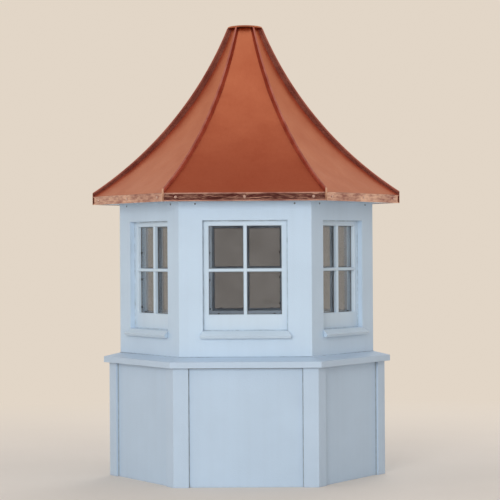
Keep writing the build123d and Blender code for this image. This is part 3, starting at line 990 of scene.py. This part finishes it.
def swept_strip(name, foot, head, sag, section, steps, fold=0.0, overrun=0.0):
    """A strip swept up the front of the roof along a hollow arc, with the arc's centre and radius."""
    chord = foot - head
    outward = Vector((chord.y, -chord.x)).normalized()
    radius = (sag**2 + (chord.length / 2) ** 2) / (2 * sag)
    centre = (foot + head) / 2 + outward * (radius - sag)
    sweep = 2 * math.asin(chord.length / 2 / radius) + 2 * overrun
    arm = (foot - centre).normalized()
    arm.rotate(Matrix.Rotation(-overrun, 2))
    middle = centre + arm * (radius + section[1] / 2)
    clear_selection()
    tilt = math.atan2(arm.y, arm.x)
    bpy.ops.mesh.primitive_plane_add(size=1, location=(0, *middle), rotation=(tilt, 0, 0))
    strip = bpy.context.object
    strip.name = name
    strip.scale = (*section, 1)
    settle(strip)
    with shaping(strip):
        bpy.ops.mesh.select_all(action="SELECT")
        if fold:
            bpy.ops.mesh.bisect(plane_co=(0, *(centre + arm * (radius + fold))), plane_no=(0, *arm))
            bpy.ops.mesh.select_all(action="SELECT")
        bpy.ops.mesh.spin(steps=steps, angle=-sweep, center=(0, *centre), axis=(1, 0, 0))
        face_outward()
    return strip, centre, radius


def nodes_of(slot):
    """CAD nodes that the record gives this material slot."""
    return [part["node"] for part in frame["record"]["subparts"] if part["material_slot"] == slot]


def paint_nodes(nodes, material):
    """Assigns a material to CAD nodes."""
    for node in nodes:
        slots = frame["nodes"][node].data.materials
        slots.clear()
        slots.append(material)


# Operators, one for each group of like pieces

class CUPOLA_OT_paint_boards(bpy.types.Operator):
    """Paints the base, the tower, the rail, the sills and the eave plate."""

    bl_idname = "cupola.paint_boards"
    bl_label = "Paint Boards"

    def execute(self, context):
        paint = context.scene.cupola_paint
        walls = nodes_of("wall_paint")
        trim = nodes_of("trim_paint")
        tower = [node for node in walls if node.startswith("wall")]
        sills = [node for node in trim if node.startswith("window_sill")]
        # The joint shares set how much painted shade and dust each paint carries in its joints
        paint_nodes(walls, board_paint("Base paint", paint.base_colour, paint.joint_shade_and_dust, paint))
        paint_nodes(tower, board_paint("Wall paint", paint.wall_colour, paint.opening_shade_and_dust, paint))
        paint_nodes(trim, board_paint("Trim paint", paint.trim_colour, paint.joint_shade_and_dust, paint))
        paint_nodes(sills, board_paint("Sill paint", paint.sash_colour, paint.opening_shade_and_dust, paint))
        return {"FINISHED"}


class CUPOLA_OT_paint_sashes(bpy.types.Operator):
    """Paints the six window sashes."""

    bl_idname = "cupola.paint_sashes"
    bl_label = "Paint Sashes"

    def execute(self, context):
        paint = context.scene.cupola_paint
        finish = board_paint("Sash paint", paint.sash_colour, paint.opening_shade_and_dust, paint)
        paint_nodes(nodes_of("sash_paint"), finish)
        return {"FINISHED"}


class CUPOLA_OT_glaze_windows(bpy.types.Operator):
    """Gives the windows their tinted glass."""

    bl_idname = "cupola.glaze_windows"
    bl_label = "Glaze Windows"

    def execute(self, context):
        paint_nodes(nodes_of("tinted_glass"), tinted_glass(context.scene.cupola_glass))
        return {"FINISHED"}


class CUPOLA_OT_add_gaskets(bpy.types.Operator):
    """Adds the thin dark gaskets round the four lights of each window."""

    bl_idname = "cupola.add_gaskets"
    bl_label = "Add Gaskets"

    def execute(self, context):
        glass = context.scene.cupola_glass
        middle_y = -(GLASS_FRONT + glass.gasket_depth / 2)
        width = LIGHT_HALF - BAR_HALF
        rings = []
        for side in (1, -1):
            for foot, head in ((LIGHT_FOOT, BAR_FOOT), (BAR_HEAD, LIGHT_HEAD)):
                middle = (side * (BAR_HALF + LIGHT_HALF) / 2, middle_y, (foot + head) / 2)
                size = (width, head - foot)
                rings.append(rectangular_ring(middle, *size, glass.gasket_band, glass.gasket_depth))
        rubber = soft_filler("Gasket rubber", glass.gasket_colour, RUBBER_ROUGHNESS)
        repeated(joined(rings), "glazing_gasket", rubber)
        return {"FINISHED"}


class CUPOLA_OT_add_clips(bpy.types.Operator):
    """Adds the small dark clips that hold the glass along the edges of each window's lights."""

    bl_idname = "cupola.add_clips"
    bl_label = "Add Clips"

    def execute(self, context):
        glass = context.scene.cupola_glass
        along, width = glass.clip_length, glass.clip_width
        depth = glass.gasket_depth + glass.gasket_band
        side_x = LIGHT_HALF - width / 2
        places = []
        heights = (LIGHT_HEAD - TOP_CLIP_DROP, BAR_FOOT - BAR_CLIP_DROP, LIGHT_FOOT + LOW_CLIP_RISE)
        for height in heights:
            places.append((-side_x, height, width, along))
        for reach in (LEFT_CLIP_REACH - LIGHT_HALF, LIGHT_HALF - RIGHT_CLIP_REACH):
            places.append((reach, LIGHT_FOOT + width / 2, along, width))

        def on_front(corner):
            """True for a corner of a clip's front."""
            return corner.y < TOUCH - GLASS_FRONT - depth

        clips = []
        for x, z, size_x, size_z in places:
            clip = block("clip", (x, -(GLASS_FRONT + depth / 2), z), (size_x, depth, size_z))
            with shaping(clip):
                round_edges(clip, on_front, glass.clip_round, FINE_SEGMENTS)
            clips.append(clip)
        smooth(joined(clips))
        enamel = soft_filler("Clip enamel", glass.clip_colour, ENAMEL_ROUGHNESS)
        repeated(bpy.context.object, "glazing_clips", enamel)
        return {"FINISHED"}


class CUPOLA_OT_form_roof_panels(bpy.types.Operator):
    """Sweeps one hollow roof panel, mitres it along its hips and repeats it round the roof."""

    bl_idname = "cupola.form_roof_panels"
    bl_label = "Form Roof Panels"

    def execute(self, context):
        copper = context.scene.cupola_copper
        eave = Vector((-FASCIA_FLAT, copper.eave_height))
        crown = Vector((-copper.crown_side * math.cos(TURN / 2), ROOF_HEAD))
        section = (SHEET_SPARE * FASCIA_FLAT, copper.sheet_thickness)
        sheet = swept_strip("roof_panel_sheet", eave, crown, copper.roof_sag, section, copper.panel_steps)[0]
        mitre_ends(sheet, TOUCH / 2)
        smooth(sheet)
        sheets = repeated(sheet, "roof_panel_sheet", copper_sheet(copper))
        for number, each in enumerate(sheets, 1):
            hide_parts(f"roof_panel_{number}")
        return {"FINISHED"}


class CUPOLA_OT_form_cap(bpy.types.Operator):
    """Makes the low domed cap at the peak."""

    bl_idname = "cupola.form_cap"
    bl_label = "Form Cap"

    def execute(self, context):
        copper = context.scene.cupola_copper
        clear_selection()
        rim = copper.cap_rim
        bpy.ops.mesh.primitive_cylinder_add(
            vertices=CAP_VERTICES, radius=copper.cap_radius, depth=rim, location=(0, 0, ROOF_HEAD + rim / 2)
        )
        cap = bpy.context.object
        cap.name = "roof_cap_dome"
        settle(cap)
        rise = OBJECT_HEIGHT - ROOF_HEAD - rim
        with shaping(cap):
            pick_faces(cap, lambda face: face.normal.z > FACING)
            for step in range(1, CAP_STEPS):
                low, high = (math.sin(math.pi / 2 * each / CAP_STEPS) for each in (step - 1, step))
                before, after = (math.cos(math.pi / 2 * each / CAP_STEPS) for each in (step - 1, step))
                lift = rise * (high - low) / math.sin(math.pi / 2 * (CAP_STEPS - 1) / CAP_STEPS)
                bpy.ops.mesh.extrude_region_move(TRANSFORM_OT_translate={"value": (0, 0, lift)})
                size = after / before
                bpy.ops.transform.resize(value=(size, size, 1), center_override=(0, 0, 0))
            face_outward()
        smooth(cap)
        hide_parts("roof_cap")
        completed(cap, bpy.data.materials["Copper sheet"])
        return {"FINISHED"}


class CUPOLA_OT_fold_seams(bpy.types.Operator):
    """Folds one hip seam and its tail over the fascia's corner, and repeats it on all six hips."""

    bl_idname = "cupola.fold_seams"
    bl_label = "Fold Seams"

    def execute(self, context):
        copper = context.scene.cupola_copper
        half = copper.seam_width / 2
        fold = copper.seam_fold
        tail_round = copper.seam_tail / 3
        foot = Vector((-SEAM_REACH, copper.seam_foot))
        head = Vector((-copper.seam_head_reach, ROOF_HEAD))
        section = (copper.seam_width, copper.seam_depth)
        seam, centre, radius = swept_strip(
            "hip_seam_cover", foot, head, copper.seam_sag, section, copper.panel_steps, fold, SEAM_OVERRUN
        )

        def depth(corner):
            """Distance of a place under the seam's crest."""
            return (corner.yz - centre).length - radius

        def on_web(face):
            """True for a side face under the fold."""
            return abs(face.normal.x) > FACING and depth(face.calc_center_median()) > fold

        with shaping(seam):
            pick_faces(seam, on_web)
            inward = {"value": -copper.seam_step}
            bpy.ops.mesh.extrude_region_shrink_fatten(TRANSFORM_OT_shrink_fatten=inward)
            for side in (1, -1):

                def on_crest(corner, side=side):
                    """True for a corner of the crest on this side."""
                    return side * corner.x > half - TOUCH and abs(depth(corner)) < TOUCH

                round_edges(seam, on_crest, copper.seam_round, ROUND_SEGMENTS)
            cut_off((0, tail_round - SEAM_REACH, 0), (0, -1, 0))
            cut_off((0, 0, ROOF_HEAD), (0, 0, 1))
            face_outward()

        tail_height = copper.seam_foot - FASCIA_FOOT
        middle = (0, copper.seam_tail / 2 - SEAM_REACH, FASCIA_FOOT + tail_height / 2)
        tail = block("hip_seam_tail", middle, (copper.seam_width, copper.seam_tail, tail_height))
        with shaping(tail):
            round_edges(tail, lambda corner: corner.y < TOUCH - SEAM_REACH, tail_round, FINE_SEGMENTS)
        seam = joined([seam, tail])
        seam.rotation_euler.z = math.pi / 2
        settle(seam)
        smooth(seam)
        metal = seam_copper(copper)
        seams = joined(repeated(seam, "hip_seam_cover", metal))
        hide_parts("hip_seams")
        completed(seams, metal)
        return {"FINISHED"}


class CUPOLA_OT_finish_fascia(bpy.types.Operator):
    """Finishes the fascia and rolls its head and its foot."""

    bl_idname = "cupola.finish_fascia"
    bl_label = "Finish Fascia"

    def execute(self, context):
        copper = context.scene.cupola_copper
        finish = fascia_copper(copper)
        paint_nodes(["eave_fascia"], finish)
        radius = copper.roll_radius
        for name, height in (("fascia_hem", FASCIA_FOOT + radius), ("eave_roll", FASCIA_HEAD - radius)):
            clear_selection()
            bpy.ops.mesh.primitive_circle_add(
                vertices=SIDE_COUNT, radius=FASCIA_FLAT / math.cos(TURN / 2), location=(0, 0, height)
            )
            roll = bpy.context.object
            roll.name = name
            roll.rotation_euler.z = TURN / 2
            settle(roll)
            bpy.ops.object.convert(target="CURVE")
            roll.data.bevel_depth = radius
            roll.data.bevel_resolution = ROLL_RESOLUTION
            bpy.ops.object.convert(target="MESH")
            smooth(roll)
            completed(roll, finish)
        return {"FINISHED"}


class CUPOLA_OT_finish_timber(bpy.types.Operator):
    """Finishes the roof deck, the rafters and the peak block in bare timber."""

    bl_idname = "cupola.finish_timber"
    bl_label = "Finish Timber"

    def execute(self, context):
        timber = context.scene.cupola_timber
        deck = bare_timber("Deck plywood", timber.deck_colour, timber.deck_dark_colour, timber)
        rafters = bare_timber("Rafter timber", timber.rafter_colour, timber.rafter_dark_colour, timber)
        paint_nodes(nodes_of("deck_board"), deck)
        paint_nodes(nodes_of("rafter_timber"), rafters)
        return {"FINISHED"}


class CUPOLA_OT_add_screws(bpy.types.Operator):
    """Adds the bright screws of the fascia and the dark ones at the head of each wall."""

    bl_idname = "cupola.add_screws"
    bl_label = "Add Screws"

    def execute(self, context):
        fixing = context.scene.cupola_fixing
        bright = screw_steel("Bright screw steel", fixing.bright_colour, BRIGHT_METALLIC)
        dark = screw_steel("Dark screw steel", fixing.dark_colour, COATED_METALLIC)
        fascia_middle = (FASCIA_FOOT + FASCIA_HEAD) / 2
        heads = []
        for reach in (-fixing.fascia_screw_reach, 0, fixing.fascia_screw_reach):
            middle = Vector((reach, -FASCIA_FLAT, fascia_middle))
            heads.append(screw_head(middle, fixing.fascia_head_radius, fixing.fascia_head_height))
        repeated(joined(heads), "fascia_screws", bright)
        heads = []
        for reach in (-fixing.wall_screw_reach, fixing.wall_screw_reach):
            middle = Vector((reach, -TOWER_FLAT, TOWER_TOP - fixing.wall_screw_drop))
            heads.append(screw_head(middle, fixing.wall_head_radius, fixing.wall_head_height))
        repeated(joined(heads), "wall_screws", dark)
        return {"FINISHED"}


class CUPOLA_OT_add_sealant(bpy.types.Operator):
    """Runs sealant along the base's joints, the tower's foot and the sashes."""

    bl_idname = "cupola.add_sealant"
    bl_label = "Add Sealant"

    def execute(self, context):
        fixing = context.scene.cupola_fixing
        leg = fixing.bead_leg
        # The joint sealant is darkened with painted shade along the joints
        sealant = soft_filler("Joint sealant", fixing.shaded_sealant_colour, SEALANT_ROUGHNESS)
        panel_front = -(PANEL_FLAT + leg / 2)

        beads = []
        for side in (1, -1):
            middle = (side * (BOARD_JOINT - leg / 2), panel_front, (BASE_TOP - leg) / 2)

            def open_corner(corner, side=side):
                """True for a corner on the bead's open edge."""
                return side * corner.x < BOARD_JOINT - leg + TOUCH and corner.y < panel_front

            beads.append(joint_bead(middle, (leg, leg, BASE_TOP - leg), open_corner))
        repeated(joined(beads), "corner_sealant", sealant)

        middle = (0, panel_front, BASE_TOP - leg / 2)
        size = (2 * BOARD_JOINT, leg, leg)
        under_rail = joint_bead(
            middle, size, lambda corner: corner.y < panel_front and corner.z < BASE_TOP - leg + TOUCH
        )
        repeated(under_rail, "rail_sealant", sealant)

        foot_width = 2 * (TOWER_FLAT + leg) * math.tan(TURN / 2)
        middle = (0, -(TOWER_FLAT + leg / 2), RAIL_TOP)
        foot = joint_bead(
            middle, (foot_width, leg, leg), lambda corner: corner.y < middle[1] and corner.z > RAIL_TOP
        )
        mitre_ends(foot)
        foot_sealant = soft_filler("Foot sealant", fixing.foot_bead_colour, SEALANT_ROUGHNESS)
        repeated(foot, "tower_sealant", foot_sealant)

        band = fixing.opening_bead
        middle = (0, -(WALL_BACK + band / 2), (OPENING_FOOT + OPENING_HEAD) / 2)
        height = OPENING_HEAD - OPENING_FOOT
        ring = rectangular_ring(middle, 2 * OPENING_HALF, height, band, band)
        # The opening sealant is a little darker than the paint, as painted shade round the sash
        opening_sealant = soft_filler("Opening sealant", fixing.shaded_opening_bead_colour, SEALANT_ROUGHNESS)
        repeated(ring, "opening_sealant", opening_sealant)
        return {"FINISHED"}


def turned(azimuth, distance, height):
    """A place round the axis. Azimuth 0 is in front, and a positive one is to the right."""
    return Vector((distance * math.sin(azimuth), -distance * math.cos(azimuth), height))


def aimed(piece, target):
    """Points a lamp or the camera at a place."""
    piece.rotation_euler = (Vector(target) - piece.location).to_track_quat("-Z", "Y").to_euler()


def set_camera(stage):
    """Level camera in the photograph's place."""
    place = turned(stage.camera_turn, stage.camera_distance, stage.camera_height)
    bpy.ops.object.camera_add(location=place)
    camera = bpy.context.object
    camera.name = "Camera"
    camera.data.lens = stage.focal_length
    camera.data.clip_end = CAMERA_REACH
    aimed(camera, (stage.aim_aside, 0, stage.camera_height))
    camera.rotation_euler.rotate_axis("Z", stage.camera_roll)
    bpy.context.scene.camera = camera


def add_soft_lamp(name, azimuth, elevation, size, light_share, target):
    """A square lamp that lights a white board facing it by this share of white."""
    height = target[2] + LAMP_DISTANCE * math.sin(elevation)
    place = turned(azimuth, LAMP_DISTANCE * math.cos(elevation), height)
    bpy.ops.object.light_add(type="AREA", location=place)
    lamp = bpy.context.object
    lamp.name = name
    lamp.data.size = size
    lamp.data.energy = light_share * math.pi**2 * LAMP_DISTANCE**2
    lamp.visible_glossy = False
    lamp.visible_transmission = False
    aimed(lamp, target)


def add_inner_lamp(light_share, lamp_colour):
    """A soft lamp in the tower that lights the backs of the sashes by this share of white."""
    height = (OPENING_FOOT + OPENING_HEAD) / 2 + INNER_LAMP_RISE
    bpy.ops.object.light_add(type="POINT", location=(0, 0, height))
    lamp = bpy.context.object
    lamp.name = "Inner lamp"
    lamp.data.shadow_soft_size = INNER_LAMP_SIZE
    lamp.data.color = lamp_colour[:3]
    lamp.data.energy = light_share * (2 * math.pi * GLASS_FRONT) ** 2
    lamp.visible_camera = False
    lamp.visible_glossy = False
    lamp.visible_transmission = False


def set_world(stage):
    """Even light for boards, and a pale room with a dimmer ceiling for metal, glass and the camera."""
    world = bpy.data.worlds.new("Studio")
    bpy.context.scene.world = world
    world.use_nodes = True
    tree = world.node_tree
    tree.nodes.clear()
    parts = parts_of(tree, make(tree, "ShaderNodeTexCoord").outputs["Generated"])
    aside = vector(tree, X=parts["X"], Y=maths(tree, "SUBTRACT", parts["Y"], CEILING_BACK))
    upper = spread(tree, parts["Z"], *UPPER_ROOM)
    overhead = maths(tree, "MULTIPLY", spread(tree, length_of(tree, aside), *CEILING_EDGE), upper)
    high_front = maths(tree, "MULTIPLY", spread(tree, parts["Y"], *HIGH_WALL_EDGE), upper)
    forward = spread(tree, parts["Y"], *DIM_ROOM_EDGE)
    low = spread(tree, parts["Z"], *DIM_ROOM_HEAD)
    warmed = mixed(tree, high_front, stage.backdrop_colour, stage.high_colour)
    paper = mixed(tree, overhead, warmed, stage.overhead_colour)
    light_path = make(tree, "ShaderNodeLightPath").outputs
    dim = maths(tree, "MULTIPLY", maths(tree, "MULTIPLY", forward, low), light_path["Is Glossy Ray"])
    room = mixed(tree, dim, paper, stage.room_colour)
    light = mixed(tree, seen_rays(tree, light_path), stage.ambient_colour, room)
    background = make(tree, "ShaderNodeBackground", {"Color": light, "Strength": 1.0}).outputs["Background"]
    make(tree, "ShaderNodeOutputWorld", {"Surface": background})


def set_floor(stage):
    """Pale floor that keeps the shadow near the cupola and fades into the backdrop."""
    clear_selection()
    bpy.ops.mesh.primitive_circle_add(
        vertices=FLOOR_VERTICES, radius=FLOOR_RADIUS, fill_type="NGON", location=(0, 0, 0)
    )
    floor = bpy.context.object
    floor.name = "Floor"
    material, tree, shader, position = new_material("Floor", Roughness=FLOOR_ROUGHNESS)
    patches = placed(tree, "Patches", position, Patch_Size=FLOOR_PATCH)["Patches"]
    shade = darker(stage.floor_colour, FLOOR_SHADE)
    uneven = laid_on(tree, patches, FLOOR_PATCH_SHARE, stage.floor_colour, shade)
    finish_shader(tree, shader, Base_Color=uneven)
    light_path = make(tree, "ShaderNodeLightPath").outputs
    fade = spread(tree, length_of(tree, position), *FLOOR_FADE)
    forward = spread(tree, parts_of(tree, position)["Y"], *FLOOR_DIM)
    dim = maths(tree, "MULTIPLY", forward, light_path["Is Glossy Ray"])
    room = mixed(tree, dim, stage.backdrop_colour, stage.room_colour)
    paper = make(tree, "ShaderNodeEmission", {"Color": room, "Strength": 1.0}).outputs["Emission"]
    mix_surface(tree, maths(tree, "MULTIPLY", fade, seen_rays(tree, light_path)), shader, paper)
    floor.data.materials.append(material)


class CUPOLA_OT_set_stage(bpy.types.Operator):
    """Sets the camera, the lights, the floor and the backdrop."""

    bl_idname = "cupola.set_stage"
    bl_label = "Set Stage"

    def execute(self, context):
        stage = context.scene.cupola_stage
        context.scene.view_settings.view_transform = "Standard"
        middle = (0, 0, OBJECT_HEIGHT / 2)
        set_world(stage)
        set_floor(stage)
        add_soft_lamp("Key lamp", KEY_AZIMUTH, KEY_ELEVATION, KEY_SIZE, stage.key_share, middle)
        add_soft_lamp("Back lamp", BACK_AZIMUTH, BACK_ELEVATION, BACK_SIZE, stage.back_share, middle)
        add_inner_lamp(stage.inner_share, stage.inner_colour)
        set_camera(stage)
        return {"FINISHED"}


OPERATORS = (
    CUPOLA_OT_paint_boards,
    CUPOLA_OT_paint_sashes,
    CUPOLA_OT_glaze_windows,
    CUPOLA_OT_add_gaskets,
    CUPOLA_OT_add_clips,
    CUPOLA_OT_form_roof_panels,
    CUPOLA_OT_form_cap,
    CUPOLA_OT_fold_seams,
    CUPOLA_OT_finish_fascia,
    CUPOLA_OT_finish_timber,
    CUPOLA_OT_add_screws,
    CUPOLA_OT_add_sealant,
    CUPOLA_OT_set_stage,
)

SETTINGS = {
    "cupola_paint": CupolaPaintSettings,
    "cupola_glass": CupolaGlassSettings,
    "cupola_copper": CupolaCopperSettings,
    "cupola_timber": CupolaTimberSettings,
    "cupola_fixing": CupolaFixingSettings,
    "cupola_stage": CupolaStageSettings,
}


class CUPOLA_PT_workshop(bpy.types.Panel):
    """Lists the cupola's finishes and pieces."""

    bl_label = "Cupola"
    bl_idname = "CUPOLA_PT_workshop"
    bl_space_type = "VIEW_3D"
    bl_region_type = "UI"
    bl_category = "Cupola"

    def draw(self, context):
        for operator in OPERATORS:
            self.layout.operator(operator.bl_idname)
        for name, settings in SETTINGS.items():
            box = self.layout.box()
            box.label(text=settings.__doc__)
            for each in settings.__annotations__:
                box.prop(getattr(context.scene, name), each)


def register():
    for name, settings in SETTINGS.items():
        bpy.utils.register_class(settings)
        setattr(bpy.types.Scene, name, PointerProperty(type=settings))
    for operator in OPERATORS:
        bpy.utils.register_class(operator)
    bpy.utils.register_class(CUPOLA_PT_workshop)


def unregister():
    bpy.utils.unregister_class(CUPOLA_PT_workshop)
    for operator in reversed(OPERATORS):
        bpy.utils.unregister_class(operator)
    for name, settings in reversed(SETTINGS.items()):
        delattr(bpy.types.Scene, name)
        bpy.utils.unregister_class(settings)


def main():
    register()
    bpy.ops.cupola.paint_boards()
    bpy.ops.cupola.paint_sashes()
    bpy.ops.cupola.glaze_windows()
    bpy.ops.cupola.add_gaskets()
    bpy.ops.cupola.add_clips()
    bpy.ops.cupola.form_roof_panels()
    bpy.ops.cupola.form_cap()
    bpy.ops.cupola.fold_seams()
    bpy.ops.cupola.finish_fascia()
    bpy.ops.cupola.finish_timber()
    bpy.ops.cupola.add_screws()
    bpy.ops.cupola.add_sealant()
    bpy.ops.cupola.set_stage()


if __name__ == "__main__":
    main()
